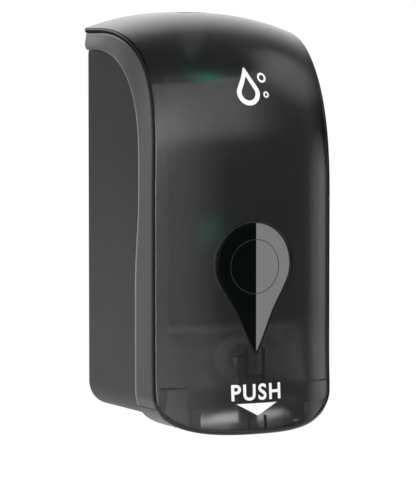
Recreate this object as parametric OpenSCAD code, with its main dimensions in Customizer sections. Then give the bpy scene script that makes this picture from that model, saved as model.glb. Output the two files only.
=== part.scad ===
// Wall mounted soap dispenser with a hinged, push-operated front cover.
// Millimetres. +X right, +Y into the wall, -Y towards the user, +Z up.
// Inside the modules, heights are counted from the dispenser's lowest point;
// on_wall() then puts the origin at the centre of the wall screws.

/* [Overall size] */
// Full height, from the cover's bottom edge to its crest
height = 246.4; // [246.4:0.1:246.4]
// Full width, across the cover's side flanges
width = 116.8; // [116.8:0.1:116.8]
// Full depth, from the wall to the foremost point of the cover
depth = 114.3; // [114.3:0.1:114.3]

/* [Cover] */
// Wall thickness of the cover
cover_t = 2.2; // [2:0.1:2.4]
// Drop of the top edge from the middle to a side
arch = 9.5; // [9:0.1:10]
// How far the front bulges forward in the middle
bulge = 15.3; // [15:0.1:15.5]
// Forward flare of the front near its bottom edge
flare = 3.8; // [3.5:0.1:4]
// Height of the seam between the cover's flange and the chin
seam_z = 16; // [15.8:0.1:16.2]

/* [Housing] */
// How far each housing side lies inside the cover's outer side
housing_inset = 2.7; // [2.6:0.1:2.8]
// Height of the housing's underside
housing_bottom = 8.2; // [8:0.1:8.4]
// Housing wall thickness
wall = 2.2; // [2:0.1:2.4]
// Back plate thickness
back_t = 3; // [3:0.1:3.2]

/* [Wall screws] */
// Height of the screw pattern's centre
mount_h = 130; // [130:1:130]
// Horizontal distance between the screw holes
screw_dx = 72; // [72:1:72]
// Vertical distance between the screw holes
screw_dz = 120; // [120:1:120]
// Radius of a screw hole
screw_r = 2.4; // [2.2:0.1:2.5]

/* [Window] */
// Height of the centre of the drop's round head
drop_z = 99.5; // [99:0.5:100]
// Radius of the drop's round head
drop_r = 24; // [23.5:0.5:24.5]
// Height of the drop's tip
drop_tip_z = 48.5; // [48:0.5:49]
// Width of the rim around the window
rim_w = 1.6; // [1.4:0.1:1.8]

/* [Mechanism] */
// Height of the push frame's pivot
pivot_z = 216; // [216:1:216]
// Depth of the push frame's pivot
pivot_y = -16; // [-16:1:-16]
// Height of the cover hinge
hinge_z = 8; // [8:0.1:8.2]
// Depth of the cover hinge
hinge_y = -90; // [-90:1:-90]
// Height of the pump's axis
pump_z = 42; // [42:1:42]
// Depth of the tank outlet and the nozzle
outlet_y = -46; // [-46:1:-46]
// Radial clearance of a pin or rod that runs in a hole
run_gap = 0.05; // [0.03:0.01:0.08]

/* [Hidden] */
$fn = 48;

half_w = width / 2;
housing_x = half_w - housing_inset;
// The front and the crest follow a rounded curve that starts at this depth and height
curve_y = 10;
curve_z = 140;
curve_power = 3;
flare_top_z = 42;
// Bottom outline of the cover, seen from the front
bottom_rise = 29;
bottom_power = 3.2;
cover_slices = 16;
profile_steps = 14;
// The flange's rear edge
flange_y = 73.4;
flange_waist = 4.6;
flange_waist_z = 85;
flange_power = 2.75;
flange_top_z = 223.5;
flange_curve_z = 140;
ear_r = 3;
housing_top = 228;
housing_front = 78;
housing_curve_z = 150;
plate_x = 54.5;
housing_bottom_r = 15;
chin_back = -69;
skirt_x = half_w - cover_t;
housing_top_r = 7;
tank_x = 41;
tank_wall = 2;
tank_bottom = 66;
tank_top = 205;
tank_back = 10;
tank_front = 90;
tank_shoulder_z = 170;
tank_shoulder_y = 70;
arm_in = 46.5;
arm_out = 51;
pin_r = 2.5;
hinge_pin_r = 2;
hinge_x = 37;
lug_w = 5;
lock_y = -27;
lock_face_z = 245.7;
plug_r = 5;
case_r = 7.5;
tongue_x = 5.5;
press_y = -96;
rod_r = 4;
head_y = press_y + 0.5;
cap_y = -80;
bore_r = 8;
spring_turns = 5;
spring_wire = 0.45;
spring_r = 5;
spring_sides = 6;
spring_steps = spring_turns * 16;
spring_back = cap_y - 3 - spring_wire;
spring_front = head_y + 2.6 + spring_wire;

// ---- outline functions ----
function across(x) = pow(x / half_w, 2);
function front_at(x) = depth - flare - bulge * across(x);
function crest_at(x) = height - arch * across(x);
function rounded(u, power) = pow(max(0, 1 - pow(min(1, max(0, u)), power)), 1 / power);
function bottom_at(x, inset = 0) =
    inset + bottom_rise * (1 - rounded(abs(x) / (half_w - inset), bottom_power));

// Side view of the closed cover at the distance x from the middle, shrunk by inset
function side_profile(x, inset, low) = concat(
    [[0, low], [-(front_at(x) + flare - inset), low], [-(front_at(x) + flare - inset), 16],
     [-(front_at(x) - inset), flare_top_z + 8]],
    [for (i = [0 : profile_steps])
        let (a = 90 * i / profile_steps,
             run = front_at(x) - inset - curve_y,
             rise = crest_at(x) - inset - curve_z)
        [-(curve_y + run * pow(cos(a), 2 / curve_power)), curve_z + rise * pow(sin(a), 2 / curve_power)]],
    [[0, crest_at(x) - inset]]);

function smooth(t) = let (u = min(1, max(0, t))) u * u * (3 - 2 * u);

// Region behind the flange's rear edge, which the cover leaves open
function behind_flange() = concat(
    [[2, -40], [-(flange_y - flange_waist), -40]],
    [for (z = [flange_waist_z : 5 : flange_curve_z - 5])
        [-(flange_y - flange_waist * smooth((flange_curve_z - z) / (flange_curve_z - flange_waist_z))), z]],
    [for (i = [0 : profile_steps])
        let (a = 90 * i / profile_steps)
        [-(curve_y + (flange_y - curve_y) * pow(cos(a), 2 / flange_power)),
         flange_curve_z + (flange_top_z - flange_curve_z) * pow(sin(a), 2 / flange_power)]],
    [[-ear_r, flange_top_z], [2, flange_top_z + ear_r + 2]]);

// A point on the surface of the spring's wire: step i along the coil, corner k around the wire
function spring_point(i, k) =
    let (a = 360 * i / 16, b = 360 * k / spring_sides, out = spring_r + spring_wire * cos(b))
    [out * cos(a), spring_back + (spring_front - spring_back) * i / spring_steps + spring_wire * sin(b),
     out * sin(a)];

// ---- helpers ----
module on_wall() translate([0, 0, -mount_h]) children();

// Extrudes a drawing made of [y, z] points along X, from x0 to x1
module along_x(x0, x1) translate([x0, 0, 0]) rotate([90, 0, 90]) linear_extrude(x1 - x0) children();

// Extrudes a drawing made of [x, z] points from depth y0 (near the wall) to y1 (near the user)
module along_y(y0, y1) translate([0, y0, 0]) rotate([90, 0, 0]) linear_extrude(y0 - y1) children();

module block(x0, x1, y0, y1, z0, z1) translate([x0, y1, z0]) cube([x1 - x0, y0 - y1, z1 - z0]);

module rod_x(r, x0, x1, y, z) translate([x0, y, z]) rotate([0, 90, 0]) cylinder(r = r, h = x1 - x0);

module rod_y(r, y0, y1, x, z) translate([x, y0, z]) rotate([90, 0, 0]) cylinder(r = r, h = y0 - y1);

module rod_z(r, z0, z1, x, y) translate([x, y, z0]) cylinder(r = r, h = z1 - z0);

module both_sides() {
    children();
    mirror([1, 0, 0]) children();
}

// Rounded rectangle between z0 and z1, half width hx, with lower and upper corner radii
module rounded_box_2d(hx, z0, z1, r0, r1) {
    translate([-hx, z0 + r0]) square([2 * hx, z1 - z0 - r0 - r1]);
    translate([-(hx - r0), z0]) square([2 * (hx - r0), r0]);
    translate([-(hx - r1), z1 - r1]) square([2 * (hx - r1), r1]);
    for (s = [-1, 1]) {
        translate([s * (hx - r0), z0 + r0]) circle(r0);
        translate([s * (hx - r1), z1 - r1]) circle(r1);
    }
}

// Front view of the cover or, with an inset, of what lies inside it
module front_outline(inset) {
    steps = 24;
    w = half_w - inset;
    polygon(concat(
        [for (i = [-steps : steps]) let (x = w * sin(90 * i / steps)) [x, bottom_at(x, inset)]],
        [[w, height + 1], [-w, height + 1]]));
}

// Top view of the region behind the cover's front, kept gap away from its outside
module plan_region(gap) {
    steps = 16;
    polygon(concat(
        [for (i = [-steps : steps]) let (x = half_w * i / steps) [x, -(front_at(x) + flare - gap)]],
        [[half_w, 1], [-half_w, 1]]));
}

// Drop outline: a round head whose sides run straight down to the tip
module drop_2d(grow) {
    steps = 40;
    r = drop_r + grow;
    reach = drop_z - drop_tip_z + 2 * grow;
    touch = asin(r / reach);
    translate([0, drop_z]) polygon(concat([[0, -reach]],
        [for (i = [0 : steps]) let (a = -touch + (180 + 2 * touch) * i / steps) [r * cos(a), r * sin(a)]]));
}

// ---- fixed to the wall ----
// Side view of the housing, whose front edge leans forward and curves back at the top
module housing_side() {
    run = housing_front - curve_y;
    rise = housing_top - housing_curve_z;
    polygon(concat(
        [[2, -1], [-(housing_front - 5), -1], [-housing_front, 60]],
        [for (i = [0 : profile_steps])
            let (a = 90 * i / profile_steps)
            [-(curve_y + run * pow(cos(a), 2 / curve_power)),
             housing_curve_z + rise * pow(sin(a), 2 / curve_power)]],
        [[2, housing_top]]));
}

module wall_screw_spots() for (sx = [-1, 1], sz = [-1, 1])
    translate([sx * screw_dx / 2, 0, mount_h + sz * screw_dz / 2]) children();

module rear_housing() color([0.26, 0.27, 0.27]) on_wall() {
    difference() {
        union() {
            difference() {
                intersection() {
                    along_y(0, -housing_front - 2)
                        rounded_box_2d(housing_x, housing_bottom, housing_top, housing_bottom_r, housing_top_r);
                    along_x(-housing_x - 1, housing_x + 1) housing_side();
                }
                along_y(-back_t, -housing_front - 4)
                    rounded_box_2d(housing_x - wall, housing_bottom + wall, housing_top - wall,
                                   housing_bottom_r - wall, housing_top_r - wall);
            }
            // Rear plate that closes the gap under the cover's crest
            along_y(0, -back_t) polygon(concat([[plate_x, housing_top - 8], [-plate_x, housing_top - 8]],
                [for (i = [-8 : 8]) let (x = plate_x * i / 8) [x, crest_at(x) - cover_t - 1.5]]));
            // Shelf under the tank, with its two brackets
            block(-44, 44, -back_t + 0.5, -80, 59, 62);
            both_sides() block(40, 44, -back_t + 0.5, -60, 50, 59.5);
            // Screw bosses and pivot bosses
            wall_screw_spots() rod_y(6, -back_t + 0.5, -back_t - 1.5, 0, 0);
            both_sides() rod_x(5.5, 52, housing_x - 1, pivot_y, pivot_z);
        }
        wall_screw_spots() rod_y(screw_r, 1, -back_t - 3, 0, 0);
        both_sides() rod_x(pin_r + 0.02, 50, housing_x - 1, pivot_y, pivot_z);
        // Notch in the top, through which the lock reaches the push frame's keeper
        block(-14, 24, -5, -housing_front - 1, housing_top - 6, housing_top + 1);
        // Way for the nozzle through the underside and for the tank outlet through the shelf
        rod_z(10, housing_bottom - 1, housing_bottom + wall + 1, 0, outlet_y);
        rod_z(13, 58, 63, 0, outlet_y);
    }
}

module tank_side(inset) polygon([
    [-(tank_back + inset), tank_bottom + inset],
    [-(tank_front - inset), tank_bottom + inset],
    [-(tank_front - inset), tank_shoulder_z - inset / 3],
    [-(tank_shoulder_y - inset / 2), tank_top + (inset > 0 ? 1 : 0)],
    [-(tank_back + inset), tank_top + (inset > 0 ? 1 : 0)]]);

module tank() color([0.72, 0.76, 0.72, 0.6]) on_wall() difference() {
    union() {
        along_x(-tank_x, tank_x) tank_side(0);
        rod_z(9, 60.5, tank_bottom + 1, 0, outlet_y);
        // Feet on the shelf
        for (x = [-30, 30], y = [-70, -22]) rod_z(4, 62, tank_bottom + 0.5, x, y);
    }
    along_x(-tank_x + tank_wall, tank_x - tank_wall) tank_side(tank_wall);
    rod_z(6, 60, tank_bottom + 3, 0, outlet_y);
}

module tank_lid() color([0.62, 0.65, 0.63]) on_wall() {
    block(-tank_x, tank_x, -tank_back, -tank_shoulder_y, tank_top, tank_top + 2);
    block(-tank_x + 6, tank_x - 6, -tank_back - 6, -tank_shoulder_y + 6, tank_top + 1.5, tank_top + 4.5);
    block(-tank_x + 2.4, tank_x - 2.4, -tank_back - 2.4, -tank_back - 4, tank_top - 4, tank_top + 0.5);
}

module outlet_seal() color([0.12, 0.12, 0.12]) on_wall() difference() {
    rod_z(10, 58, 60.5, 0, outlet_y);
    rod_z(6, 57, 62, 0, outlet_y);
}

module pump_body() color([0.8, 0.81, 0.8]) on_wall() difference() {
    union() {
        rod_y(11, -30, cap_y, 0, pump_z);
        rod_z(9, pump_z, 58, 0, outlet_y);
        rod_z(7.5, 20, pump_z, 0, outlet_y);
        // Mounting foot that reaches back to the housing's back plate
        block(-14, 14, -back_t, -31, pump_z - 6, pump_z + 6);
    }
    rod_y(bore_r, -36, cap_y - 1, 0, pump_z);
    rod_z(4, pump_z, 53, 0, outlet_y);
    rod_z(5, 52.9, 59, 0, outlet_y);
    rod_z(4, 19, pump_z, 0, outlet_y);
}

module pump_cap() color([0.75, 0.76, 0.75]) on_wall() difference() {
    union() {
        rod_y(13, cap_y, cap_y - 3, 0, pump_z);
        difference() {
            rod_y(13, cap_y + 9, cap_y, 0, pump_z);
            rod_y(11.02, cap_y + 10, cap_y - 1, 0, pump_z);
        }
    }
    rod_y(rod_r + run_gap, cap_y + 10, cap_y - 4, 0, pump_z);
}

module inlet_ball() color([0.8, 0.8, 0.82]) on_wall()
    translate([0, outlet_y, 55.3]) sphere(r = 4.6);

module outlet_ball() color([0.8, 0.8, 0.82]) on_wall()
    translate([0, outlet_y, 22.1]) sphere(r = 3.6);

module nozzle() color([0.16, 0.16, 0.17]) on_wall() difference() {
    union() {
        rod_z(8.5, 11, 20, 0, outlet_y);
        rod_z(6, 5, 12, 0, outlet_y);
    }
    rod_z(3, 4, 21, 0, outlet_y);
}

module nozzle_tip() color([0.7, 0.7, 0.68]) on_wall() difference() {
    rod_z(4.4, 1.5, 5, 0, outlet_y);
    rod_z(2, 1, 6, 0, outlet_y);
}

module pivot_pin() on_wall() rod_x(pin_r, arm_in - 0.5, housing_x - 1, pivot_y, pivot_z);

module pivot_pin_left() color("silver") mirror([1, 0, 0]) pivot_pin();

module pivot_pin_right() color("silver") pivot_pin();

// ---- swings when the front is pushed ----
module arm_side() {
    // From the pivot forward, then down to the chin
    polygon([[-7, pivot_z - 1], [-7, pivot_z + 6], [-40, pivot_z + 4], [-62, pivot_z - 10],
             [-80, pivot_z - 40], [-89, 150], [-89, 60], [-94, 40], [-94, 14], [-86, 14], [-84, 30],
             [-81, 40], [-80, 60], [-80, 146], [-71, 172], [-54, pivot_z - 18], [-36, pivot_z - 8],
             [-16, pivot_z - 6], [-9, pivot_z - 4]]);
}

module push_frame() color([0.2, 0.2, 0.21]) on_wall() difference() {
    union() {
        both_sides() {
            along_x(arm_in, arm_out) arm_side();
            rod_x(6, arm_in, arm_out, pivot_y, pivot_z);
        }
        // Top bar and the keeper that the lock's cam catches
        block(-arm_in - 1, arm_in + 1, -7, -11.5, pivot_z - 1, pivot_z + 6);
        block(10.5, 19, -9, -37, pivot_z - 1, pivot_z + 1.5);
        block(10.5, 19, -33.5, -37, pivot_z, pivot_z + 9);
    }
    both_sides() rod_x(pin_r + run_gap, arm_in - 2, arm_out + 2, pivot_y, pivot_z);
}

// Ear of the cover hinge on the chin, 3 mm wide from x0
module hinge_ear(x0) {
    rod_x(4, x0, x0 + 3, hinge_y, hinge_z);
    block(x0, x0 + 3, hinge_y + 4, hinge_y - 4, bottom_at(x0 + 3) + 0.6, hinge_z);
}

module chin() color([0.16, 0.17, 0.17]) on_wall() difference() {
    union() {
        // Skirt that follows the cover's bottom outline
        intersection() {
            along_y(chin_back, -depth) difference() {
                front_outline(0.3);
                front_outline(1.9);
            }
            linear_extrude(seam_z - 0.4) plan_region(cover_t + 1.9);
            block(0.3 - skirt_x, skirt_x - 0.3, 0, -depth, 0, seam_z);
        }
        // Walls that stand up behind the cover's front on both sides
        intersection() {
            along_y(chin_back, -depth) both_sides() polygon([[40, bottom_at(40, 1)], [40, 27.5],
                [half_w - cover_t - 0.5, 27.5], [half_w - cover_t - 0.5, 15.5],
                [54, bottom_at(54, 1)], [50, bottom_at(50, 1)], [46, bottom_at(46, 1)]]);
            translate([0, 0, -1]) linear_extrude(30) difference() {
                plan_region(cover_t + flare + 0.8);
                plan_region(cover_t + flare + 2.3);
            }
        }
        both_sides() {
            // Blocks that carry the frame's arms
            block(arm_in, 55, -94, -96.5, 14, 27.5);
            block(arm_in, arm_out, -86, -95, 10, 14);
            // Ears of the cover hinge
            hinge_ear(hinge_x + lug_w / 2 + 0.4);
            hinge_ear(hinge_x - lug_w / 2 - 3.4);
        }
        // Tongue that pushes the pump
        block(-tongue_x, tongue_x, press_y - 2, press_y - 5, 2, 52);
        block(-tongue_x, tongue_x, press_y + 6, press_y - 8, 1.2, 5);
    }
    // Slots for the hinge lugs and the bores for their pins
    both_sides() {
        block(hinge_x - lug_w / 2 - 0.4, hinge_x + lug_w / 2 + 0.4, hinge_y + 7, -depth, -1, 32);
        rod_x(hinge_pin_r + 0.02, hinge_x - 7, hinge_x + 7, hinge_y, hinge_z);
    }
}

module pusher_pad() color([0.1, 0.1, 0.1]) on_wall()
    block(-tongue_x, tongue_x, press_y, press_y - 2, pump_z - 9, pump_z + 10);

module hinge_pin() on_wall() rod_x(hinge_pin_r, hinge_x - 5.8, hinge_x + 5.8, hinge_y, hinge_z);

// Soft stop on the front of an arm, against which the closed cover rests
module arm_bumper() on_wall() rod_y(2.2, -89, -96.2, (arm_in + arm_out) / 2, 130);

module bumper_left() color([0.1, 0.1, 0.1]) mirror([1, 0, 0]) arm_bumper();

module bumper_right() color([0.1, 0.1, 0.1]) arm_bumper();

module hinge_pin_left() color("silver") mirror([1, 0, 0]) hinge_pin();

module hinge_pin_right() color("silver") hinge_pin();

// ---- opens for filling ----
module cover_solid(inset, low) {
    w = half_w - inset;
    for (i = [0 : cover_slices - 1]) hull() for (k = [i, i + 1]) {
        x = w * (2 * k / cover_slices - 1);
        translate([x - 0.05, 0, 0]) rotate([90, 0, 90]) linear_extrude(0.1)
            polygon(side_profile(x, inset, low));
    }
}

module front_cover() color([0.2, 0.21, 0.21, 0.75]) on_wall() difference() {
    intersection() {
        difference() {
            cover_solid(0, 0);
            cover_solid(cover_t, -5);
        }
        along_y(-0.6, -depth - 1) front_outline(0);
    }
    // Open back, with the flange's rear edge, and the open underside
    along_x(-half_w - 1, half_w + 1) polygon(behind_flange());
    both_sides() block(half_w - 12, half_w + 1, 1, -96.8, -1, seam_z);
    // Window and lock holes
    along_y(-80, -depth - 1) drop_2d(rim_w + 0.05);
    rod_z(case_r + 0.1, 225, height + 1, 0, lock_y);
    rod_z(case_r + 1.6, lock_face_z - 1, height + 1, 0, lock_y);
}

// Lug inside the cover's front, through which the hinge pin passes
module cover_hinge() on_wall() difference() {
    union() {
        rod_x(4, hinge_x - lug_w / 2, hinge_x + lug_w / 2, hinge_y, hinge_z);
        intersection() {
            block(hinge_x - lug_w / 2, hinge_x + lug_w / 2, hinge_y, -depth, hinge_z - 3.5, hinge_z + 8);
            linear_extrude(40) plan_region(cover_t + 0.1);
        }
    }
    rod_x(hinge_pin_r + run_gap, hinge_x - lug_w, hinge_x + lug_w, hinge_y, hinge_z);
    block(hinge_x - lug_w, hinge_x + lug_w, hinge_y + 5, hinge_y - 4, hinge_z + 4.2, hinge_z + 9);
}

module cover_hinge_left() color([0.2, 0.2, 0.2]) mirror([1, 0, 0]) cover_hinge();

module cover_hinge_right() color([0.2, 0.2, 0.2]) cover_hinge();

// Shell of the window region, whose two flat faces meet in a ridge at the middle
module window_shell(front_gap, thickness) {
    y0 = depth - flare - front_gap;
    edge = bulge * across(drop_r + rim_w);
    linear_extrude(height) polygon([
        [-drop_r - rim_w, -(y0 - edge)], [0, -y0], [drop_r + rim_w, -(y0 - edge)],
        [drop_r + rim_w, -(y0 - edge - thickness)], [0, -(y0 - thickness)],
        [-drop_r - rim_w, -(y0 - edge - thickness)]]);
}

module window_lens() color([0.35, 0.36, 0.36, 0.6]) on_wall() intersection() {
    along_y(-80, -depth) drop_2d(0);
    window_shell(0.2, 2);
}

module window_bezel() color([0.08, 0.08, 0.08]) on_wall() intersection() {
    along_y(-80, -depth) difference() {
        drop_2d(rim_w);
        drop_2d(0.02);
    }
    window_shell(-0.2, 3);
}

module lock_case() color("silver") on_wall() difference() {
    union() {
        rod_z(case_r + 1.5, lock_face_z - 1, lock_face_z, 0, lock_y);
        rod_z(case_r, 226, lock_face_z - 0.5, 0, lock_y);
    }
    rod_z(plug_r + run_gap, 225, height, 0, lock_y);
}

module lock_nut() color("gainsboro") on_wall() difference() {
    translate([0, lock_y, 239]) cylinder(r = 10.5, h = 3.4, $fn = 6);
    rod_z(case_r + 0.02, 238, 244, 0, lock_y);
}

module lock_plug() color("silver") on_wall() difference() {
    rod_z(plug_r, 222.8, lock_face_z - 0.2, 0, lock_y);
    block(-0.8, 0.8, lock_y + 3.5, lock_y - 3.5, 236, height);
}

module lock_cam() color("gainsboro") on_wall() {
    rod_z(plug_r, 220.8, 222.8, 0, lock_y);
    block(-4, 4, lock_y + 14, lock_y, 220.8, 222.8);
}

module cam_screw() color("gainsboro") on_wall() rod_z(2.8, 218.8, 220.8, 0, lock_y);

// ---- slides in the pump ----
module plunger() color([0.85, 0.85, 0.84]) on_wall() {
    rod_y(rod_r, -54, head_y + 2, 0, pump_z);
    rod_y(6, head_y + 2.6, head_y + 0.5, 0, pump_z);
    rod_y(4, head_y + 1, head_y, 0, pump_z);
    difference() {
        rod_y(bore_r - 0.1, -54, -60, 0, pump_z);
        difference() {
            rod_y(bore_r + 1, -55.5, -58.5, 0, pump_z);
            rod_y(6.2, -55, -59, 0, pump_z);
        }
    }
}

module piston_seal() color([0.1, 0.1, 0.1]) on_wall() difference() {
    rod_y(bore_r - 0.05, -55.6, -58.4, 0, pump_z);
    rod_y(6.2, -55, -59, 0, pump_z);
}

// Compression spring between the pump cap and the plunger's head
module return_spring() color("silver") on_wall() translate([0, 0, pump_z]) polyhedron(
    points = [for (i = [0 : spring_steps], k = [0 : spring_sides - 1]) spring_point(i, k)],
    faces = concat(
        [[for (k = [0 : spring_sides - 1]) k]],
        [for (i = [0 : spring_steps - 1], k = [0 : spring_sides - 1])
            let (a = i * spring_sides + k, b = i * spring_sides + (k + 1) % spring_sides)
            [a, a + spring_sides, b + spring_sides, b]],
        [[for (k = [spring_sides - 1 : -1 : 0]) spring_steps * spring_sides + k]]));

rear_housing();
tank();
tank_lid();
outlet_seal();
pump_body();
pump_cap();
inlet_ball();
outlet_ball();
nozzle();
nozzle_tip();
pivot_pin_left();
pivot_pin_right();
push_frame();
chin();
pusher_pad();
bumper_left();
bumper_right();
hinge_pin_left();
hinge_pin_right();
front_cover();
cover_hinge_left();
cover_hinge_right();
window_lens();
window_bezel();
lock_case();
lock_nut();
lock_plug();
lock_cam();
cam_screw();
plunger();
piston_seal();
return_spring();
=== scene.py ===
"""Wall mounted soap dispenser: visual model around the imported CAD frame.

Lengths in the shape functions are millimetres and heights are counted from the
dispenser's lowest point; place() turns a point into metres in the row frame.
"""
import math

import bmesh
import bpy
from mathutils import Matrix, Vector


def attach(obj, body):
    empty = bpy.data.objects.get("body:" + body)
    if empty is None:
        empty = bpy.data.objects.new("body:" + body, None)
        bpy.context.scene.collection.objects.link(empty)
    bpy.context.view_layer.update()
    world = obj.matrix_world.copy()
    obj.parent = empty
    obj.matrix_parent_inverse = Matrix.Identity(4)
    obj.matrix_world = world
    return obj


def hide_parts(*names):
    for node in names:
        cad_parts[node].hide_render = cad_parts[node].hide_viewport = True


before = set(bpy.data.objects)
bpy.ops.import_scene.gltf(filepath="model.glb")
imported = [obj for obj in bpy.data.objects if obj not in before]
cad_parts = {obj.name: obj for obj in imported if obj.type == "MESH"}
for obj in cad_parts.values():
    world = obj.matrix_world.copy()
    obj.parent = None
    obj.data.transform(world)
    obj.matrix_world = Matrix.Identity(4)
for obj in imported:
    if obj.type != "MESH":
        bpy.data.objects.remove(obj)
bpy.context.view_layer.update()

# ---- sizes shared with the CAD, in millimetres ----
MOUNT_H = 130.0         # height of the row frame's origin
HALF_W = 58.4
HEIGHT = 246.4
DEPTH = 114.3
FLARE = 3.8             # the face swells out this far towards its bottom
FLARE_TOP_Z = 58.0
BULGE = 15.3            # the face's middle is this much deeper than its sides
ARCH = 9.5              # the crest's middle is this much higher than its sides
COVER_T = 2.2
CURVE_Y = 10.0          # the rounded upper front starts at this depth and height
CURVE_Z = 140.0
CURVE_POWER = 3
BOTTOM_RISE = 29.0      # height of the face's rounded bottom corners
BOTTOM_POWER = 3.2
WALL_GAP = 0.6
FLANGE_Y = 73.4         # depth of the side flange's rear edge
FLANGE_WAIST = 4.6      # the rear edge swings back by this much below the curve
FLANGE_TOP_Z = 223.5
FLANGE_POWER = 2.75
SEAM_Z = 16.0           # the side flanges end here, above the chin
DROP_Z = 99.5           # centre and radius of the window's round head
DROP_R = 24.0
DROP_TIP_Z = 48.5
RIM_W = 1.6
LOCK_Y = -27.0

# ---- finer shapes of the visible cover, in millimetres ----
NARROWING = 2.2         # the upper front draws in by this much on each side
EDGE_R = 1.1            # rounding of the face's edge
BOTTOM_EDGE_R = 2.6     # added to it along the bottom
EDGE_SKIRT = 0.1
EDGE_STEPS = 5
FLANGE_T = 1.5
FLANGE_EDGE_R = 0.4
SEAM_START = 1.5        # the dark groove round the face, counted back from the corner
SEAM_BOTTOM = 2.95
SEAM_END = 3.0
DROP_TIP_R = 1.1
DROP_HOLLOW = 0.09      # share by which the drop's flanks curve inwards
LOCK_HOLE_R = 9.2
LENS_SINK = 0.2


def place(x, y, z):
    """Millimetres above the lowest point to metres in the row frame."""
    return Vector((x / 1000, y / 1000, (z - MOUNT_H) / 1000))


def ramp(value, start, end):
    """Smooth step from 0 at start to 1 at end; start may be the larger one."""
    u = min(1.0, max(0.0, (value - start) / (end - start)))
    return u * u * (3 - 2 * u)


def on_circle(x, y, r, share):
    """Point on a circle at a share of the full turn."""
    return (x + r * math.cos(math.tau * share), y + r * math.sin(math.tau * share))


# ---- mesh helpers ----
def new_object(name, verts, faces, marked=()):
    """Welded mesh object from points in millimetres; marked faces get the second material."""
    mesh = bpy.data.meshes.new(name)
    mesh.from_pydata([place(*v) for v in verts], [], faces)
    if marked:
        for _ in range(2):
            mesh.materials.append(None)
        for i in marked:
            mesh.polygons[i].material_index = 1
    obj = bpy.data.objects.new(name, mesh)
    bpy.context.scene.collection.objects.link(obj)
    bm = bmesh.new()
    bm.from_mesh(mesh)
    bmesh.ops.remove_doubles(bm, verts=bm.verts, dist=2e-6)
    bmesh.ops.dissolve_degenerate(bm, edges=bm.edges, dist=1e-7)
    bmesh.ops.recalc_face_normals(bm, faces=bm.faces)
    bm.to_mesh(mesh)
    bm.free()
    return obj


def shade(obj, angle=32.0):
    """Smooth faces, with edges sharper than the angle kept sharp."""
    bm = bmesh.new()
    bm.from_mesh(obj.data)
    limit = math.radians(angle)
    for face in bm.faces:
        face.smooth = True
    for edge in bm.edges:
        edge.smooth = len(edge.link_faces) == 2 and edge.calc_face_angle(0.0) < limit
    bm.to_mesh(obj.data)
    bm.free()


def apply_modifiers(obj):
    """Replaces the mesh with its modified result."""
    graph = bpy.context.evaluated_depsgraph_get()
    mesh = bpy.data.meshes.new_from_object(obj.evaluated_get(graph))
    obj.modifiers.clear()
    old = obj.data
    obj.data = mesh
    bpy.data.meshes.remove(old)


def cut(obj, cutter):
    """Takes the cutter's volume away from the object."""
    mod = obj.modifiers.new("cut", "BOOLEAN")
    mod.operation = "DIFFERENCE"
    mod.solver = "EXACT"
    mod.object = cutter
    apply_modifiers(obj)
    mesh = cutter.data
    bpy.data.objects.remove(cutter)
    bpy.data.meshes.remove(mesh)


def tube_object(name, rings, closed_path=False):
    """Closed solid whose cross-sections are the given rings of equally many points."""
    count, n = len(rings), len(rings[0])
    verts = [p for ring in rings for p in ring]
    faces = []
    for i in range(count if closed_path else count - 1):
        a, b = i * n, ((i + 1) % count) * n
        for k in range(n):
            m = (k + 1) % n
            faces.append((a + k, b + k, b + m, a + m))
    if not closed_path:
        faces.append(tuple(range(n)))
        faces.append(tuple(range((count - 1) * n, count * n)))
    return new_object(name, verts, faces)


def prism(name, outline, y0, y1):
    """Closed prism from an (x, z) outline between two depths."""
    return tube_object(name, [[(x, y, z) for x, z in outline] for y in (y0, y1)])


# ---- the cover's surface ----
def half_width(y, z):
    """Half width of the cover, which narrows towards the upper front."""
    return HALF_W - NARROWING * ramp(z, 140, 220) * ramp(-y, 45, 85)


def bottom_at(x, inset=0.0):
    """Height of the face's lower outline."""
    u = min(1.0, abs(x) / (HALF_W - inset))
    return inset + BOTTOM_RISE * (1 - (1 - u ** BOTTOM_POWER) ** (1 / BOTTOM_POWER))


def outline_x(z):
    """Half width of the cover's front outline at a height."""
    if z >= BOTTOM_RISE:
        return HALF_W
    return HALF_W * (1 - (1 - z / BOTTOM_RISE) ** BOTTOM_POWER) ** (1 / BOTTOM_POWER)


def front_depth(u, z):
    """Depth of the cover's face below the curve, u across from -1 to 1."""
    flare = FLARE * max(0.0, (FLARE_TOP_Z - z) / FLARE_TOP_Z) ** 3
    return DEPTH - FLARE - BULGE * u * u + flare


def curve_shares(a, power):
    """Shares of a rounded curve's run and rise at the angle a, in degrees."""
    a = math.radians(a)
    return max(0.0, math.cos(a)) ** (2 / power), max(0.0, math.sin(a)) ** (2 / power)


def arc_point(u, a, inset=0.0):
    """(y, z) on the rounded upper front at the angle a, in degrees."""
    run = DEPTH - FLARE - BULGE * u * u - inset - CURVE_Y
    rise = HEIGHT - ARCH * u * u - inset - CURVE_Z
    c, s = curve_shares(a, CURVE_POWER)
    return -(CURVE_Y + run * c), CURVE_Z + rise * s


def even_angles(count, tries=2000):
    """Angles from 90 to 0 that are evenly spaced along the middle profile."""
    fine = [90 - 90 * i / tries for i in range(tries + 1)]
    points = [arc_point(0, a) for a in fine]
    length = [0.0]
    for p, q in zip(points, points[1:]):
        length.append(length[-1] + math.dist(p, q))
    result, k = [], 0
    for i in range(count + 1):
        want = length[-1] * i / count
        while k < tries and length[k] < want - 1e-9:
            k += 1
        result.append(fine[k])
    return result


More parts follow.
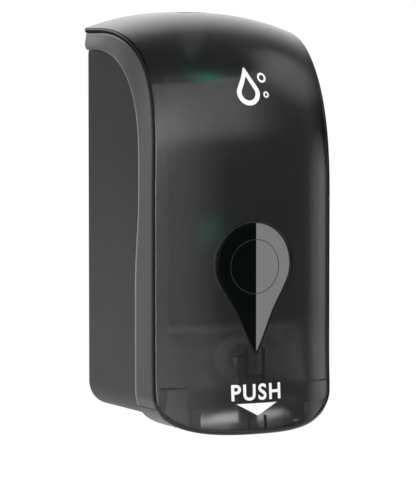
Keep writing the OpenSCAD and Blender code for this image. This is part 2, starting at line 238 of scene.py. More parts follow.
# The face's grid: shares across it, and rows over the crest, round the curve and down the front
TOP_ROWS = 4
ARC_ROWS = 44
DOWN_ROWS = 46
COLUMNS = 30
ACROSS = [math.sin(math.pi / 2 * k / COLUMNS) for k in range(-COLUMNS, COLUMNS + 1)]
ROWS = ([("top", i / TOP_ROWS) for i in range(TOP_ROWS)]
        + [("arc", a) for a in even_angles(ARC_ROWS)]
        + [("down", (i + 1) / DOWN_ROWS) for i in range(DOWN_ROWS)])


def panel_point(u, row, inset, deep=0.0):
    """A point of the cover's face: outline shrunk by inset, surface sunk by deep."""
    kind, t = row
    if kind == "top":
        y = -(WALL_GAP + (CURVE_Y - WALL_GAP) * t)
        z = HEIGHT - ARCH * u * u - deep
    elif kind == "arc":
        y, z = arc_point(u, t, deep)
    else:
        low = bottom_at(u * (HALF_W - inset), inset)
        z = CURVE_Z - (CURVE_Z - low) * t
        y = -(front_depth(u, z) - deep)
    return (u * (half_width(y, z) - inset), y, z)


def inward(row):
    """Direction along the side wall, away from the face, as (y, z)."""
    kind, t = row
    if kind == "top":
        return (0.0, -1.0)
    if kind == "down":
        return (1.0, 0.0)
    a0, a1 = min(90.0, t + 0.5), max(0.0, t - 0.5)
    (y0, z0), (y1, z1) = arc_point(1, a0), arc_point(1, a1)
    dy, dz = y1 - y0, z1 - z0
    size = math.hypot(dy, dz)
    return (-dz / size, dy / size)


def ear_sink(y, z):
    """How far the top of the side wall draws in towards the wall end."""
    return 1.3 * ramp(z, 224, 237) * ramp(y, -42, -8)


def shifted(p, way, distance):
    """The point moved along a (y, z) direction."""
    return (p[0], p[1] + way[0] * distance, p[2] + way[1] * distance)


def toward(p, q, t):
    """The point at the share t of the way from p to q."""
    return tuple(a + (b - a) * t for a, b in zip(p, q))


def face_loop():
    """Row and column of every point round the face's edge, from top left to top right."""
    last = len(ROWS) - 1
    n = len(ACROSS) - 1
    return ([(i, 0) for i in range(last + 1)] + [(last, j) for j in range(1, n + 1)]
            + [(i, n) for i in range(last - 1, -1, -1)])


def edge_radius(u, row):
    """Rounding of the face's edge: small along the sides, larger along the bottom."""
    return EDGE_R + BOTTOM_EDGE_R * ramp(panel_point(u, row, 0.0)[2], 20, 4)


def edge_drop(u, row):
    """How fast the face falls back towards its side edge, per millimetre."""
    kind, t = row
    way = inward(row)
    c, s = curve_shares({"top": 90.0, "down": 0.0}.get(kind, t), CURVE_POWER)
    return (2 * BULGE * c * way[0] - 2 * ARCH * s * way[1]) / HALF_W * u * u


def edge_section(i, j):
    """Rounded edge of the face: from the flat face round to the side and back along it."""
    u, row = ACROSS[j], ROWS[i]
    way = inward(row)
    radius = edge_radius(u, row)
    drop = radius * edge_drop(u, row)
    start = panel_point(u, row, radius)
    corner = shifted(panel_point(u, row, 0.0), way, drop)
    end = shifted(corner, way, radius)
    points = []
    for k in range(1, EDGE_STEPS + 1):
        t = k / EDGE_STEPS
        points.append(toward(toward(start, corner, t), toward(corner, end, t), t))
    points.append(shifted(end, way, EDGE_SKIRT))
    inner = panel_point(u, row, COVER_T - 0.45)
    points.append(shifted(inner, way, drop + radius + EDGE_SKIRT))
    return points


def cover_panel():
    """The smoked face as a closed shell, with the faces of its rounded edge marked."""
    verts, index = [], {}

    def add(key, p):
        index[key] = len(verts)
        verts.append(p)

    rows, cols = len(ROWS), len(ACROSS)
    for i in range(rows):
        for j in range(cols):
            u, row = ACROSS[j], ROWS[i]
            add(("o", i, j), panel_point(u, row, edge_radius(u, row)))
            add(("i", i, j), panel_point(u, row, COVER_T, COVER_T))
    faces = []
    for side in "oi":
        for i in range(rows - 1):
            for j in range(cols - 1):
                faces.append((index[side, i, j], index[side, i + 1, j],
                              index[side, i + 1, j + 1], index[side, i, j + 1]))
    loop = face_loop()
    for i, j in loop:
        for k, p in enumerate(edge_section(i, j)):
            add(("e", i, j, k), p)
    steps = EDGE_STEPS + 2

    def chain(i, j):
        edge = [index["e", i, j, k] for k in range(steps)]
        return [index["o", i, j], *edge, index["i", i, j]]

    edge_faces = []
    for here, after in zip(loop, loop[1:]):
        a, b = chain(*here), chain(*after)
        for k in range(steps + 1):
            if 1 <= k < steps:
                edge_faces.append(len(faces))
            faces.append((a[k], b[k], b[k + 1], a[k + 1]))
    for j in range(cols - 1):
        faces.append((index["o", 0, j], index["o", 0, j + 1],
                      index["i", 0, j + 1], index["i", 0, j]))
    for j in (0, cols - 1):
        faces.append(tuple(chain(0, j)))
    return new_object("cover_panel", verts, faces, edge_faces)


# ---- drop outline ----
def drop_outline(grow, head_steps=72, flank_steps=16, tip_steps=10):
    """Drop shape around its round head: slightly hollow flanks and a small round tip."""
    r = DROP_R + grow
    reach = DROP_Z - DROP_TIP_Z + grow
    # The flanks touch the head and a small circle at the tip
    tip_z = -(reach - DROP_TIP_R)
    touch = math.asin((r - DROP_TIP_R) / -tip_z)
    head = []
    for i in range(head_steps + 1):
        a = -touch + (math.pi + 2 * touch) * i / head_steps
        head.append((r * math.cos(a), DROP_Z + r * math.sin(a)))
    tip = []
    for i in range(tip_steps + 1):
        a = math.pi + touch + (math.pi - 2 * touch) * i / tip_steps
        tip.append((DROP_TIP_R * math.cos(a), DROP_Z + tip_z + DROP_TIP_R * math.sin(a)))
    down = []
    for k in range(1, flank_steps):
        t = k / flank_steps
        x, z = toward(head[-1], tip[0], t)
        down.append((x * (1 - DROP_HOLLOW * math.sin(math.pi * t) ** 2), z))
    up = [(-x, z) for x, z in reversed(down)]
    return head + down + tip + up


def lens_depth(x):
    """The window's two flat faces, which meet in a ridge at the middle."""
    edge = DROP_R + RIM_W
    return DEPTH - FLARE - LENS_SINK - BULGE * (edge / HALF_W) ** 2 * abs(x) / edge


def face_depth(x, z):
    """Depth of the face below the curve at a point given in millimetres."""
    return front_depth(x / HALF_W, z)


panel = cover_panel()
cut(panel, prism("cutter", drop_outline(RIM_W - 0.1), -80, -120))
lock_hole = [on_circle(0, LOCK_Y, LOCK_HOLE_R, k / 64) for k in range(64)]
cut(panel, tube_object("cutter", [[(x, y, z) for x, y in lock_hole] for z in (225, 250)]))
shade(panel)


# ---- the cover's side flanges and the dark seam between them and the face ----
def flange_rear(row, z):
    """(y, z) of the flange's rear edge on a row of the face."""
    kind, t = row
    if kind == "top":
        y = -(WALL_GAP + (CURVE_Y - WALL_GAP) * t)
        return (y, FLANGE_TOP_Z + max(0.0, y + 3.0))
    if kind == "arc":
        c, s = curve_shares(t, FLANGE_POWER)
        return (-(CURVE_Y + (FLANGE_Y - CURVE_Y) * c), CURVE_Z + (FLANGE_TOP_Z - CURVE_Z) * s)
    return (-(FLANGE_Y - FLANGE_WAIST * ramp(z, CURVE_Z, CURVE_Z - 55)), z)


def cover_flange(name, side):
    """Side wall of the cover from the seam back to its rounded rear edge."""
    sections = []
    stations = [(row, panel_point(1.0, row, 0.0)) for row in ROWS]
    end_rows, steps = 8, 10
    for k in range(1, end_rows + 1):
        z = BOTTOM_RISE - (BOTTOM_RISE - SEAM_Z) * k / end_rows
        corner = (HALF_W, -front_depth(outline_x(z) / HALF_W, z), z)
        stations.append((("down", 1.0), corner))
    for row, corner in stations:
        front = shifted(corner, inward(row), SEAM_END)[1:]
        rear = flange_rear(row, corner[2])

        def wall(t, sink):
            y, z = toward(front, rear, t)
            return (side * (min(half_width(y, z), outline_x(z)) - sink - ear_sink(y, z)), y, z)

        # Both edges are rounded over the share e of the wall
        r = FLANGE_EDGE_R
        e = r / math.dist(front, rear)
        outer = [wall(0.0, r), wall(e * 0.3, r * 0.3), wall(e, 0.0)]
        outer += [wall(e + (1 - 2 * e) * k / steps, 0.0) for k in range(1, steps)]
        outer += [wall(1 - e, 0.0), wall(1 - e * 0.3, r * 0.3), wall(1.0, r)]
        inner = [wall(1 - k / steps, FLANGE_T) for k in range(steps + 1)]
        sections.append(outer + inner)
    obj = tube_object(name, sections)
    shade(obj, 40)
    return obj


def cover_seam():
    """Dark strip in the groove round the face."""
    sections = []
    for i, j in face_loop():
        u, row = ACROSS[j], ROWS[i]
        way = inward(row)
        z = panel_point(u, row, 0.0)[2]
        # The strip's inner leg is wider and shorter along the bottom
        wide = 2.6 + 0.8 * ramp(z, 34, 24)
        leg = 6.5 - 3.0 * ramp(z, 40, 32)
        behind_flange, behind_panel = FLANGE_T + 0.05, COVER_T + 0.05
        corners = ((0.35, SEAM_START), (0.35, SEAM_BOTTOM), (behind_flange, SEAM_BOTTOM),
                   (behind_flange, leg), (wide, leg), (wide, behind_panel),
                   (COVER_T - 0.5, behind_panel), (COVER_T - 0.5, 1.0))
        extra = edge_radius(u, row) - EDGE_R
        sections.append([shifted(panel_point(u, row, sink), way, back + extra)
                         for sink, back in corners])
    return tube_object("cover_seam", sections)


flange_left = cover_flange("cover_flange_left", -1)
flange_right = cover_flange("cover_flange_right", 1)
seam = cover_seam()
shade(seam, 40)


# ---- window ----
def window_half(name, side):
    """Half of the window's lens: a flat facet with a rounded outer edge."""
    rings = []
    for shrink, sink in ((0.05, 2.0), (0.05, 0.75), (0.2, 0.3), (0.55, 0.06), (0.95, 0.0)):
        outline = drop_outline(-shrink)
        half = [(x, z) for x, z in outline if side * x > 0.05]
        half.sort(key=lambda p: math.atan2(p[1] - (DROP_Z - 8), side * p[0]))
        bottom, top = (f(z for x, z in outline) for f in (min, max))
        rings.append([(x, -(lens_depth(x) - sink), z)
                      for x, z in [(0.0, bottom), *half, (0.0, top)]])
    return tube_object(name, rings)


def window_rim():
    """Raised bead round the window, from the face down to the lens."""
    columns = []
    # Distance outside the lens, share of the lens's depth in the depth, and height above it
    for grow, share, lift in ((RIM_W, 0.0, -1.6), (RIM_W, 0.0, 0.12), (RIM_W - 0.3, 0.1, 0.3),
                              (RIM_W - 0.7, 0.35, 0.32), (0.45, 0.75, 0.2), (0.12, 1.0, 0.0),
                              (0.06, 1.0, -2.0)):
        columns.append([(x, -(face_depth(x, z) * (1 - share) + lens_depth(x) * share + lift), z)
                        for x, z in drop_outline(grow)])
    return tube_object("window_rim", [list(section) for section in zip(*columns)],
                       closed_path=True)


def window_ring():
    """Fine ring on the lens, inside the round head."""
    sections = []
    count = 96
    for k in range(count):
        section = []
        for r, lift in ((15.6, -0.1), (15.6, 0.05), (16.0, 0.05), (16.0, -0.1)):
            x, z = on_circle(0, DROP_Z - 1.5, r, (k + 0.5) / count)
            section.append((x, -(lens_depth(x) + lift), z))
        sections.append(section)
    return tube_object("window_ring", sections, closed_path=True)


pane_left = window_half("window_pane_left", -1)
pane_right = window_half("window_pane_right", 1)
rim = window_rim()
ring = window_ring()
for piece in (pane_left, pane_right, rim, ring):
    shade(piece, 35)


# ---- ribs behind the face ----
def rib(name, points, width=0.9, shallow=0.4, deep=3.4):
    """A thin dark rib moulded into the face along (x, z) points."""
    fine = []
    for (x0, z0), (x1, z1) in zip(points, points[1:]):
        count = max(2, int(math.hypot(x1 - x0, z1 - z0) / 2))
        fine += [(x0 + (x1 - x0) * k / count, z0 + (z1 - z0) * k / count) for k in range(count)]
    fine.append(points[-1])
    sections = []
    for k, (x, z) in enumerate(fine):
        a, b = fine[max(0, k - 1)], fine[min(len(fine) - 1, k + 1)]
        dx, dz = b[0] - a[0], b[1] - a[1]
        size = math.hypot(dx, dz)
        nx, nz = -dz / size * width / 2, dx / size * width / 2
        section = []
        for sign, back in ((1, shallow), (1, deep), (-1, deep), (-1, shallow)):
            px, pz = x + sign * nx, z + sign * nz
            section.append((px, -(face_depth(px, pz) - back), pz))
        sections.append(section)
    return tube_object(name, sections)


ribs = [rib("cover_rib_" + name, points) for name, points in (
    ("left", [(-5.5, 50.5), (-5.5, 30.5)]),
    ("right", [(5.5, 50.5), (5.5, 30.5)]),
    ("cross", [(-5.5, 34), (5.5, 34)]),
    ("tick", [(-13, 46), (-5.8, 46)]),
    ("low_left", [(-5.5, 11), (-5.5, 3.4)]),
    ("low_right", [(5.5, 11), (5.5, 3.4)]),
    ("side_left", [(-55.5, 28), (-42, 28)]),
    ("side_right", [(42, 28), (55.5, 28)]),
)]


# ---- printed marks ----
PRINT_LIFT = 0.05
PRINT_T = 0.1
PRINT_STEP = 1.2        # longest edge, so that the print follows the curved face


def print_on_face(name, flat):
    """Lays a flat mesh, given as faces of (x, z) points, onto the cover's face as a thin print."""
    bm = bmesh.new()
    for polygon in flat:
        bm.faces.new([bm.verts.new((x, 0.0, z)) for x, z in polygon])
    bmesh.ops.remove_doubles(bm, verts=bm.verts, dist=1e-4)
    bmesh.ops.triangulate(bm, faces=bm.faces)
    for _ in range(6):
        long = [e for e in bm.edges if e.calc_length() > PRINT_STEP]
        if not long:
            break
        bmesh.ops.subdivide_edges(bm, edges=long, cuts=1)
        bmesh.ops.triangulate(bm, faces=bm.faces)
    bmesh.ops.recalc_face_normals(bm, faces=bm.faces)
    for v in bm.verts:
        v.co.y = -(surface_depth(v.co.x, v.co.z) + PRINT_LIFT)
    bm.verts.ensure_lookup_table()
    verts = [tuple(v.co) for v in bm.verts]
    count = len(verts)
    verts += [(x, y + PRINT_T, z) for x, y, z in verts]
    faces = [tuple(v.index for v in f.verts) for f in bm.faces]
    faces += [tuple(i + count for i in reversed(f)) for f in faces]
    for e in bm.edges:
        if len(e.link_faces) == 1:
            a, b = e.verts[0].index, e.verts[1].index
            faces.append((a, b, b + count, a + count))
    bm.free()
    obj = new_object(name, verts, faces)
    shade(obj, 40)
    return obj


def surface_depth(x, z):
    """Depth of the face at any height, on the curve too, where the face is a little narrower."""
    if z <= CURVE_Z:
        return face_depth(x, z)
    u = x / (HALF_W - 1.5)
    rise = HEIGHT - ARCH * u * u - CURVE_Z
    run = DEPTH - FLARE - BULGE * u * u - CURVE_Y
    return CURVE_Y + run * (1 - ((z - CURVE_Z) / rise) ** CURVE_POWER) ** (1 / CURVE_POWER)


def text_faces(text, left, right, low, high):
    """Faces of (x, z) points of bold lettering that fills the given box."""
    curve = bpy.data.curves.new("text", "FONT")
    curve.body = text
    curve.size = 10
    curve.offset = 0.22
    curve.resolution_u = 6
    curve.space_character = 1.17
    obj = bpy.data.objects.new("text", curve)
    bpy.context.scene.collection.objects.link(obj)
    graph = bpy.context.evaluated_depsgraph_get()
    mesh = bpy.data.meshes.new_from_object(obj.evaluated_get(graph))
    xs = [v.co.x for v in mesh.vertices]
    ys = [v.co.y for v in mesh.vertices]
    sx = (right - left) / (max(xs) - min(xs))
    sy = (high - low) / (max(ys) - min(ys))
    points = [(left + (x - min(xs)) * sx, low + (y - min(ys)) * sy) for x, y in zip(xs, ys)]
    faces = [[points[i] for i in p.vertices] for p in mesh.polygons]
    bpy.data.objects.remove(obj)
    bpy.data.curves.remove(curve)
    bpy.data.meshes.remove(mesh)
    return faces


def band(inner, outer):
    """Quads between two closed outlines of equally many points."""
    n = len(inner)
    return [[outer[k], outer[(k + 1) % n], inner[(k + 1) % n], inner[k]] for k in range(n)]


def circle(x, z, r, count=28):
    """Points round a circle."""
    return [on_circle(x, z, r, k / count) for k in range(count)]


def water_drop(x, z, r, tall, count=48):
    """Outline of a water drop with a curved neck."""
    points = []
    for k in range(count):
        a = math.tau * k / count
        up = max(0.0, math.cos(a))
        neck = 1 - 0.62 * up ** 2.2
        points.append((x + r * math.sin(a) * neck, z + r * math.cos(a) + (tall - r) * up ** 3))
    return points


triangle = [(-13.4, 18.3), (0, 11.2), (13.4, 18.3)]
push_print = print_on_face("print_push", text_faces("PUSH", -16.2, 16.2, 20.0, 29.6) + [triangle])
emblem = print_on_face("print_drop", (
    band(water_drop(-2.0, 199.0, 4.5, 9.2), water_drop(-2.0, 199.0, 7.4, 14.6))
    + band(circle(8.4, 207.6, 1.6), circle(8.4, 207.6, 2.9))
    + band(circle(9.6, 197.8, 0.9), circle(9.6, 197.8, 1.9))))


# ---- materials ----
def material(name, color, rough=0.4, spread=0.06, tint=0.06, grain=900.0, bump=0.04, metal=0.0,
             coat=0.0, coat_rough=0.1, **more):
    """Moulded plastic, rubber or metal with a fine grain.

    The colour varies slowly by the share tint and the roughness by spread; more holds further
    inputs of the shader, with underscores for spaces.
    """
    mat = bpy.data.materials.new(name)
    mat.use_nodes = True
    nodes, links = mat.node_tree.nodes, mat.node_tree.links
    shader = nodes["Principled BSDF"]
    coords = nodes.new("ShaderNodeTexCoord")
    slow = nodes.new("ShaderNodeTexNoise")
    slow.inputs["Scale"].default_value = 28.0
    slow.inputs["Detail"].default_value = 4.0
    links.new(coords.outputs["Object"], slow.inputs["Vector"])
    colors = nodes.new("ShaderNodeValToRGB")
    for end, position, factor in zip(colors.color_ramp.elements, (0.3, 0.7), (1 - tint, 1 + tint)):
        end.position = position
        end.color = [min(1.0, c * factor) for c in color] + [1]
    links.new(slow.outputs["Fac"], colors.inputs["Fac"])
    links.new(colors.outputs["Color"], shader.inputs["Base Color"])
    vary = nodes.new("ShaderNodeMapRange")
    vary.inputs["To Min"].default_value = max(0.02, rough - spread)
    vary.inputs["To Max"].default_value = min(1.0, rough + spread)
    links.new(slow.outputs["Fac"], vary.inputs["Value"])
    links.new(vary.outputs["Result"], shader.inputs["Roughness"])
    fine = nodes.new("ShaderNodeTexNoise")
    fine.inputs["Scale"].default_value = grain
    fine.inputs["Detail"].default_value = 3.0
    links.new(coords.outputs["Object"], fine.inputs["Vector"])
    relief = nodes.new("ShaderNodeBump")
    relief.inputs["Strength"].default_value = bump
    relief.inputs["Distance"].default_value = 0.0002
    links.new(fine.outputs["Fac"], relief.inputs["Height"])
    links.new(relief.outputs["Normal"], shader.inputs["Normal"])
    shader.inputs["Metallic"].default_value = metal
    shader.inputs["IOR"].default_value = 1.5
    shader.inputs["Coat Weight"].default_value = coat
    shader.inputs["Coat Roughness"].default_value = coat_rough
    for key, value in more.items():
        shader.inputs[key.replace("_", " ")].default_value = value
    return mat


def through_light(mat, share):
    """Lets the studio light through to what is inside, for shadow rays only."""
    nodes, links = mat.node_tree.nodes, mat.node_tree.links
    shader, output = nodes["Principled BSDF"], nodes["Material Output"]
    path = nodes.new("ShaderNodeLightPath")
    clear = nodes.new("ShaderNodeBsdfTransparent")
    clear.inputs["Color"].default_value = (share, share, share, 1)
    mix = nodes.new("ShaderNodeMixShader")
    links.new(path.outputs["Is Shadow Ray"], mix.inputs["Fac"])
    links.new(shader.outputs["BSDF"], mix.inputs[1])
    links.new(clear.outputs["BSDF"], mix.inputs[2])
    links.new(mix.outputs["Shader"], output.inputs["Surface"])


# The cover: clear smoked face, its edge and side walls, where the light passes through more of it;
# the edge's near black is partly painted shade, for its dark outline
smoked = material("smoked_clear", (0.33, 0.335, 0.335), rough=0.23, spread=0.02, grain=500,
                  bump=0.01, coat=1.0, coat_rough=0.045, Transmission_Weight=1.0,
                  Specular_IOR_Level=0.0)
through_light(smoked, 0.85)
smoked_edge_shade = material("smoked_edge_shade", (0.0004, 0.0004, 0.0005), rough=0.5, grain=500, bump=0.01,
                       coat=1.0, coat_rough=0.06, Specular_IOR_Level=0.0)
smoked_side = material("smoked_side", (0.0175, 0.018, 0.019), rough=0.32, spread=0.04, bump=0.02,
                       coat=0.5, coat_rough=0.14)
seam_black = material("seam_black", (0.0015, 0.0015, 0.002), rough=0.6, grain=700,
                      Specular_IOR_Level=0.1)
rib_dark = material("rib_dark", (0.003, 0.003, 0.003), rough=0.6)
# The window and the prints
pane_black = material("pane_black", (0.0015, 0.0025, 0.002), rough=0.12, spread=0.03, bump=0.005,
                      Specular_IOR_Level=0.1)
# Painted sheen: the window's right half is painted a lighter grey in place of a highlight
pane_painted_sheen = material("pane_painted_sheen", (0.2, 0.202, 0.203), rough=0.32, spread=0.04, tint=0.03,
                     bump=0.01, coat=0.2, coat_rough=0.2)
rim_black = material("rim_black", (0.005, 0.006, 0.006), rough=0.15, spread=0.04, bump=0.01,
                     coat=0.15, coat_rough=0.06, Specular_IOR_Level=0.15)
ring_tone = material("ring_tone", (0.018, 0.02, 0.019), rough=0.35)
print_white = material("print_white", (0.93, 0.93, 0.93), rough=0.45, tint=0.02, spread=0.03,
                       bump=0.03)
# The housing and what it holds
housing_grey = material("housing_grey", (0.0095, 0.0098, 0.0105), rough=0.42, bump=0.16, grain=1500,
                        Specular_IOR_Level=0.18)
tank_milk = material("tank_milk", (0.017, 0.024, 0.0195), rough=0.4, tint=0.04, bump=0.05)
lid_milk = material("lid_milk", (0.12, 0.135, 0.125), rough=0.4, tint=0.04)
pump_white = material("pump_white", (0.45, 0.46, 0.45), rough=0.35)
pump_grey = material("pump_grey", (0.2, 0.205, 0.2), rough=0.4)
dark_frame = material("dark_frame", (0.03, 0.031, 0.033), rough=0.45, bump=0.08)
chin_dark = material("chin_dark", (0.035, 0.036, 0.038), rough=0.36, spread=0.04, coat=0.15,
                     coat_rough=0.2)
zinc = material("lock_zinc", (0.26, 0.26, 0.26), rough=0.45, bump=0.05)
chrome = material("lock_chrome", (0.62, 0.62, 0.64), rough=0.16, metal=1.0, bump=0.03)
steel = material("steel", (0.5, 0.5, 0.52), rough=0.26, metal=1.0, bump=0.05)
rubber = material("rubber", (0.012, 0.012, 0.013), rough=0.65, bump=0.2)
silicone = material("silicone", (0.5, 0.5, 0.48), rough=0.4, bump=0.05,
                    Subsurface_Weight=0.2)
ball_steel = material("ball_steel", (0.55, 0.55, 0.57), rough=0.12, metal=1.0, bump=0.01)


def tone(mat, color, low, high, soft=0.1):
    """Another colour inside a box between two corners, fading over soft on each side of its faces.

    The corners and soft are in millimetres, and the box lies in the row frame.
    """
    nodes, links = mat.node_tree.nodes, mat.node_tree.links
    shader = nodes["Principled BSDF"]
    split = nodes.new("ShaderNodeSeparateXYZ")
    links.new(nodes["Texture Coordinate"].outputs["Object"], split.inputs["Vector"])
    share = None
    for axis, start, end in zip("XYZ", place(*low), place(*high)):
        for edge, sign in ((start, 1), (end, -1)):
            fade = nodes.new("ShaderNodeMapRange")
            fade.interpolation_type = "SMOOTHSTEP"
            fade.inputs["From Min"].default_value = edge - sign * soft / 1000
            fade.inputs["From Max"].default_value = edge + sign * soft / 1000
            links.new(split.outputs[axis], fade.inputs["Value"])
            if share is None:
                share = fade.outputs["Result"]
                continue
            both = nodes.new("ShaderNodeMath")
            both.operation = "MULTIPLY"
            links.new(share, both.inputs[0])
            links.new(fade.outputs["Result"], both.inputs[1])
            share = both.outputs["Value"]
    mix = nodes.new("ShaderNodeMix")
    mix.data_type = "RGBA"
    links.new(share, mix.inputs["Factor"])
    links.new(shader.inputs["Base Color"].links[0].from_socket, mix.inputs["A"])
    mix.inputs["B"].default_value = (*color, 1)
    links.new(mix.outputs["Result"], shader.inputs["Base Color"])


# Painted light: the housing's outer sides are painted lighter downwards, as if lit from below
tone(housing_grey, (0.044, 0.045, 0.047), (-400, -400, -300), (400, 400, 120), 105)
# Painted light: the housing's inside is painted lighter round the tank and pale below it, standing
# in for the light that reaches in there
tone(housing_grey, (0.2, 0.2, 0.195), (-54.5, -90, 59.5), (54.5, -1.5, 205))
tone(housing_grey, (0.6, 0.6, 0.59), (-54.5, -90, 23.5), (54.5, -1.5, 59.5))
tone(housing_grey, (0.6, 0.6, 0.59), (-49, -90, 12.3), (49, -1.5, 23.5))
# Painted light: the tank's sloping shoulder is painted pale where it faces up to the light
tone(tank_milk, (0.07, 0.072, 0.07), (-38, -100, 176), (12, 0, 202), 8)
# Painted glows: green patches are painted on the tank's wall, its lid and the housing's top
tone(tank_milk, (0.012, 0.32, 0.17), (-25, -100, 113), (-13, 0, 124), 11)
tone(lid_milk, (0.08, 0.75, 0.5), (-18, -100, 190), (0, 0, 220), 9)
tone(housing_grey, (0.08, 0.75, 0.5), (-4, -90, 204), (36, -14, 222), 6)
# Painted light: the smoked face is painted clearer along the bottom, so that it shows lighter there
tone(smoked, (0.52, 0.525, 0.52), (-80, -200, -40), (80, 40, 58), 14)


def paint(obj, mat):
    """Gives the mesh its material; the marked faces of the panel keep the second one."""
    if len(obj.data.materials) > 1:
        obj.data.materials[0] = mat
        obj.data.materials[1] = smoked_edge_shade
    else:
        obj.data.materials.clear()
        obj.data.materials.append(mat)


# Piece, material, material slot of the record, and the CAD nodes that the piece stands for
BUILT = [
    (panel, smoked, "smoked_plastic", ["front_cover"]),
    (flange_left, smoked_side, "smoked_plastic", []),
    (flange_right, smoked_side, "smoked_plastic", []),
    (seam, seam_black, "rubber", []),
    (pane_left, pane_black, "window_plastic", ["window_lens"]),
    # The right pane carries the painted sheen
    (pane_right, pane_painted_sheen, "window_plastic", []),
    (rim, rim_black, "rim_plastic", ["window_bezel"]),
    (ring, ring_tone, "window_plastic", []),
    (push_print, print_white, "pump_plastic", []),
    (emblem, print_white, "pump_plastic", []),
] + [(piece, rib_dark, "dark_plastic", []) for piece in ribs]
for piece, mat, slot, nodes in BUILT:
    paint(piece, mat)
    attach(piece, "cover")
    if nodes:
        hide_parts(*nodes)

FINISH = {
    "rear_housing": housing_grey, "tank": tank_milk, "tank_lid": lid_milk,
    "outlet_seal": rubber, "pump_body": pump_white, "pump_cap": pump_grey,
    "inlet_ball": ball_steel, "outlet_ball": ball_steel, "nozzle": dark_frame,
    "nozzle_tip": silicone, "pivot_pin_left": steel, "pivot_pin_right": steel,
    "push_frame": dark_frame, "chin": chin_dark, "pusher_pad": rubber,
    "bumper_left": rubber, "bumper_right": rubber, "hinge_pin_left": steel,
    "hinge_pin_right": steel, "cover_hinge_left": dark_frame, "cover_hinge_right": dark_frame,
    "lock_case": zinc, "lock_nut": zinc, "lock_plug": chrome, "lock_cam": steel,
    "cam_screw": steel, "plunger": pump_white, "piston_seal": rubber, "return_spring": steel,
}
for node, mat in FINISH.items():
    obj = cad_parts[node]
    for slot in obj.material_slots:
        slot.link = "OBJECT"
        slot.material = mat

# ---- floor, light and camera, in metres ----
FLOOR_R, FLOOR_Z = 1.4, -0.45
floor_mesh = bpy.data.meshes.new("floor")
floor_mesh.from_pydata([(x, y, FLOOR_Z) for x, y in circle(0, 0, FLOOR_R, 96)], [],
                       [tuple(range(96))])
floor = bpy.data.objects.new("floor", floor_mesh)
bpy.context.scene.collection.objects.link(floor)
pale = material("pale_floor", (0.86, 0.86, 0.86), rough=0.7, tint=0.01, Emission_Strength=0.35)
pale.node_tree.nodes["Principled BSDF"].inputs["Emission Color"].default_value = (1, 1, 1, 1)
floor.data.materials.append(pale)


TENT_FRONT, TENT_BACK, TENT_FAR = 0.10, 0.5, 0.7
WIDE_LIGHT = 0.62
# Soft glows of the studio: azimuth (0 in front, 90 to the right) and elevation in degrees,
# the angles where the glow starts to fade and ends, and its strength
GLOWS = [
    (-34, 13, 4, 20, 0.3),      # left part of the face, at eye level
    (-40, -6, 6, 50, 0.35),     # and lower down
    (80, -4, 1, 11, 0.5),       # right edge of the face
    (78, 36, 3, 24, 0.5),       # upper right corner
    (81, -3, 1.5, 5, 0.35),
    (-53, 2, 13, 21, 2.3),      # side flanges
    (160, 20, 10, 50, 0.25),    # crest
    (-150, 14, 3, 14, 1.5),     # rear left edge
]


def direction(azimuth, elevation):
    """Unit vector from the object; azimuth 0 is in front and 90 to the right."""
    az, el = math.radians(azimuth), math.radians(elevation)
    return Vector((math.sin(az) * math.cos(el), -math.cos(az) * math.cos(el), math.sin(el)))


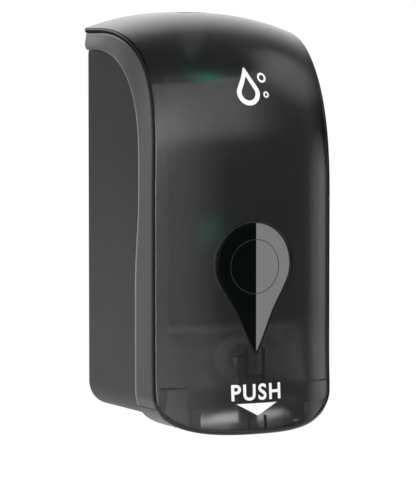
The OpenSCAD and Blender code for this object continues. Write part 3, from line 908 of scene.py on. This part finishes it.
def studio_world():
    """White to the camera; a dim tent with soft glows and a dark flag for all other rays.

    X, Y and Z are the parts of a ray's direction to the right, to the rear and up.
    """
    world = bpy.data.worlds.new("studio")
    bpy.context.scene.world = world
    world.use_nodes = True
    nodes, links = world.node_tree.nodes, world.node_tree.links
    nodes.clear()
    way = nodes.new("ShaderNodeTexCoord").outputs["Generated"]
    split = nodes.new("ShaderNodeSeparateXYZ")
    links.new(way, split.inputs["Vector"])
    axes = split.outputs

    def ranged(source, start, end, low=0.0, high=1.0):
        """Smooth step from low at start to high at end."""
        node = nodes.new("ShaderNodeMapRange")
        node.interpolation_type = "SMOOTHSTEP"
        for key, value in (("From Min", start), ("From Max", end),
                           ("To Min", low), ("To Max", high)):
            node.inputs[key].default_value = value
        links.new(source, node.inputs["Value"])
        return node.outputs["Result"]

    def combined(operation, first, *others):
        """The operation applied to the first value and each of the others in turn."""
        for other in others:
            node = nodes.new("ShaderNodeMath")
            node.operation = operation
            links.new(first, node.inputs[0])
            links.new(other, node.inputs[1])
            first = node.outputs["Value"]
        return first

    # Dim tent, brighter behind the object
    parts = [ranged(axes["Y"], 0.3, 0.9, TENT_FRONT, TENT_BACK),
             ranged(axes["Y"], 0.9, 1.0, 0.0, TENT_FAR)]
    # Wide light above the front, which fades downwards and to the right
    parts.append(combined("MULTIPLY", ranged(axes["Z"], 0.09, 0.22, 0.0, WIDE_LIGHT),
                          ranged(axes["Z"], 0.73, 0.69), ranged(axes["X"], 0.9, 0.15),
                          ranged(axes["Y"], 0.1, -0.1)))
    for azimuth, elevation, inner, outer, strength in GLOWS:
        dot = nodes.new("ShaderNodeVectorMath")
        dot.operation = "DOT_PRODUCT"
        dot.inputs[1].default_value = direction(azimuth, elevation)
        links.new(way, dot.inputs[0])
        parts.append(ranged(dot.outputs["Value"], math.cos(math.radians(outer)),
                            math.cos(math.radians(inner)), 0.0, strength))
    total = combined("ADD", *parts)
    # Dark flag at the right rear, which draws the black outline of the right side
    level = combined("MULTIPLY", ranged(axes["Z"], 0.3, 0.12), ranged(axes["Y"], 0.6, 0.4))
    level = combined("MAXIMUM", level, ranged(axes["Z"], 0.03, -0.03))
    flag = combined("MULTIPLY", ranged(axes["X"], 0.15, 0.3), level,
                    ranged(axes["Y"], -0.14, -0.11))
    below = ranged(axes["Z"], -0.45, -0.2, 0.1, 1.0)
    light = nodes.new("ShaderNodeBackground")
    open_share = nodes.new("ShaderNodeMath")
    open_share.operation = "SUBTRACT"
    open_share.inputs[0].default_value = 1.0
    links.new(flag, open_share.inputs[1])
    links.new(combined("MULTIPLY", total, below, open_share.outputs["Value"]),
              light.inputs["Strength"])
    white = nodes.new("ShaderNodeBackground")
    for node in (light, white):
        node.inputs["Color"].default_value = (1, 1, 1, 1)
    path = nodes.new("ShaderNodeLightPath")
    # The white background also shows through the smoked cover, under the housing
    seen = combined("MULTIPLY", path.outputs["Is Transmission Ray"],
                    ranged(axes["Y"], 0.3, 0.6, 0.0, 0.8))
    seen = combined("MAXIMUM", seen, path.outputs["Is Camera Ray"])
    mix = nodes.new("ShaderNodeMixShader")
    links.new(seen, mix.inputs["Fac"])
    links.new(light.outputs["Background"], mix.inputs[1])
    links.new(white.outputs["Background"], mix.inputs[2])
    output = nodes.new("ShaderNodeOutputWorld")
    links.new(mix.outputs["Shader"], output.inputs["Surface"])


def softbox(name, azimuth, elevation, distance, size, power):
    """Large soft lamp that lights the matt surfaces; the tent alone makes the reflections."""
    lamp = bpy.data.lights.new(name, "AREA")
    lamp.shape = "SQUARE"
    lamp.size = size
    lamp.energy = power
    obj = bpy.data.objects.new(name, lamp)
    bpy.context.scene.collection.objects.link(obj)
    way = direction(azimuth, elevation)
    obj.location = Vector((0, -0.06, 0)) + way * distance
    obj.rotation_euler = way.to_track_quat("Z", "Y").to_euler()
    obj.visible_camera = False
    obj.visible_glossy = False
    obj.visible_transmission = False


studio_world()
softbox("top_box", -15, 60, 1.4, 1.1, 9)
softbox("front_box", -10, 10, 1.5, 0.8, 3.5)
softbox("low_left_box", -75, -35, 0.6, 0.35, 0.5)

VIEW_AZ, VIEW_EL, VIEW_DISTANCE = -27.44, 3.95, 1.7549
VIEW_TARGET = Vector((-0.00393, -0.057, -0.01988))
camera_data = bpy.data.cameras.new("camera")
camera_data.lens = 220.08
camera_data.sensor_width = 36.0
camera = bpy.data.objects.new("camera", camera_data)
bpy.context.scene.collection.objects.link(camera)
view_way = direction(VIEW_AZ, VIEW_EL)
camera.location = VIEW_TARGET + view_way * VIEW_DISTANCE
camera.rotation_euler = view_way.to_track_quat("Z", "Y").to_euler()
bpy.context.scene.camera = camera
bpy.context.scene.view_settings.view_transform = "Standard"
